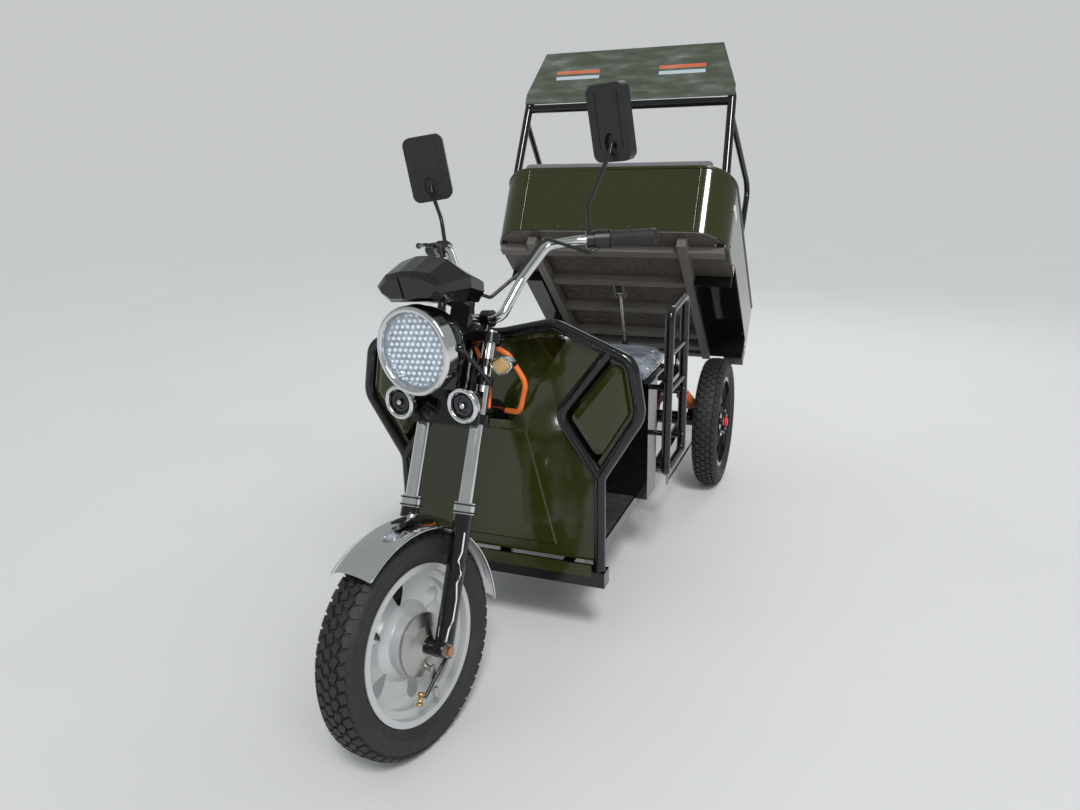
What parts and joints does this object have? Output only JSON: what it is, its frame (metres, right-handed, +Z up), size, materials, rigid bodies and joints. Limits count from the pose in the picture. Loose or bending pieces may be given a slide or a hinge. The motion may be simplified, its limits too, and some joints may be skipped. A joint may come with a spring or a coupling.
{
  "type": "electric cargo tricycle",
  "caption": "Electric cargo tricycle with a raked front fork, tube leg shield, bench seat and an open load box that tips up on a gas strut",
  "frame": {"origin": "on the ground at the middle of the whole object's length and width", "axes": "+Z up, the front faces -Y, +X is the vehicle's left side"},
  "size_m": [0.806, 2.3053, 1.5426],
  "materials": {
    "olive_paint": "gloss",
    "black_paint": "gloss",
    "underside_paint": "satin",
    "black_plastic": "satin",
    "gloss_black": "gloss",
    "chrome": "polished",
    "silver_rim": "satin",
    "black_rubber": "matte",
    "tyre_rubber": "matte",
    "mirror_face": "polished",
    "clear_lens": "gloss",
    "amber_lens": "gloss",
    "red_lens": "gloss",
    "seat_vinyl": "satin",
    "pad_cloth": "matte",
    "orange_spring": "gloss",
    "bare_steel": "satin",
    "battery_case": "matte"
  },
  "bodies": {
    "chassis": {"frame": "black_paint", "shield_hoop": "black_paint", "shield_panels": "olive_paint", "shield_cover": "black_plastic", "footboard": "black_paint", "foot_mat": "black_rubber", "battery_box": "black_paint", "battery": "battery_case", "side_guards": "black_paint", "rear_axle": "black_paint", "trailing_arms": "black_paint", "shock_absorbers": "black_paint", "shock_springs": "orange_spring", "brake_rods": "bare_steel", "neck_leads": "black_plastic"},
    "steering": {"fork_sliders": "black_paint", "fork_tubes": "chrome", "fork_yokes": "black_paint", "front_axle": "bare_steel", "front_fender": "chrome", "handlebar": "chrome", "grips": "black_rubber", "switchgear": "black_plastic", "mirrors": "black_plastic", "mirror_glass": "mirror_face", "headlight_shell": "gloss_black", "headlight_bezel": "chrome", "headlight_lens": "clear_lens", "instrument_cowl": "gloss_black", "lamp_brackets": "black_paint", "round_lamps": "chrome", "round_lenses": "clear_lens", "bar_cables": "black_plastic", "turn_signals": "gloss_black", "turn_lenses": "amber_lens"},
    "front_wheel": {"front_tyre": "tyre_rubber", "front_rim": "silver_rim"},
    "rear_wheel_left": {"rear_tyre_left": "tyre_rubber", "rear_rim_left": "black_paint"},
    "rear_wheel_right": {"rear_tyre_right": "tyre_rubber", "rear_rim_right": "black_paint"},
    "seat": {"seat_pan": "black_paint", "seat_cushion": "seat_vinyl"},
    "bed": {"box_walls": "olive_paint", "box_floor": "underside_paint", "box_ribs": "underside_paint", "wheel_housings": "black_paint", "box_hoop": "black_paint", "headboard": "olive_paint", "wall_pad": "pad_cloth", "tail_lamps": "black_plastic", "tail_lenses": "red_lens"},
    "gate": {"tailgate": "olive_paint"},
    "strut_lower": {"strut_barrel": "black_paint"},
    "strut_upper": {"strut_rod": "bare_steel"}
  },
  "joints": [
    {"name": "steering_head", "type": "hinge", "parent": "chassis", "child": "steering", "pos_m": [0, -0.87287, 0.20957], "axis": [0, 0.4384, 0.8988], "range_deg": [-29, 51]},
    {"name": "front_axle_turn", "type": "hinge", "parent": "steering", "child": "front_wheel", "pos_m": [-0.01107, -0.92404, 0.23453], "axis": [0.9816, -0.1715, 0.0836], "continuous": true},
    {"name": "rear_left_turn", "type": "hinge", "parent": "chassis", "child": "rear_wheel_left", "pos_m": [0.328, 0.76, 0.235], "axis": [1, 0, 0], "continuous": true},
    {"name": "rear_right_turn", "type": "hinge", "parent": "chassis", "child": "rear_wheel_right", "pos_m": [-0.328, 0.76, 0.235], "axis": [1, 0, 0], "continuous": true},
    {"name": "seat_lid", "type": "hinge", "parent": "chassis", "child": "seat", "pos_m": [0, -0.115, 0.583], "axis": [1, 0, 0], "range_deg": [0, 70]},
    {"name": "bed_tip", "type": "hinge", "parent": "chassis", "child": "bed", "pos_m": [0, 0.89, 0.44], "axis": [1, 0, 0], "range_deg": [0, 42]},
    {"name": "tailgate_hinge", "type": "hinge", "parent": "bed", "child": "gate", "pos_m": [0, 0.9919, 0.43167], "axis": [-1, 0, 0], "range_deg": [0, 90]},
    {"name": "strut_foot", "type": "hinge", "parent": "chassis", "child": "strut_lower", "pos_m": [0, 0.765, 0.33], "axis": [1, 0, 0], "range_deg": [0, 42]},
    {"name": "strut_slide", "type": "slide", "parent": "strut_lower", "child": "strut_upper", "axis": [0, -0.3213, 0.947], "range_m": [-0.125, 0]}
  ],
  "couplings": [
    {"joint": "strut_foot", "follows": "bed_tip", "ratio": 0.98432},
    {"joint": "strut_slide", "follows": "bed_tip", "m_per_rad": -0.16271}
  ]
}
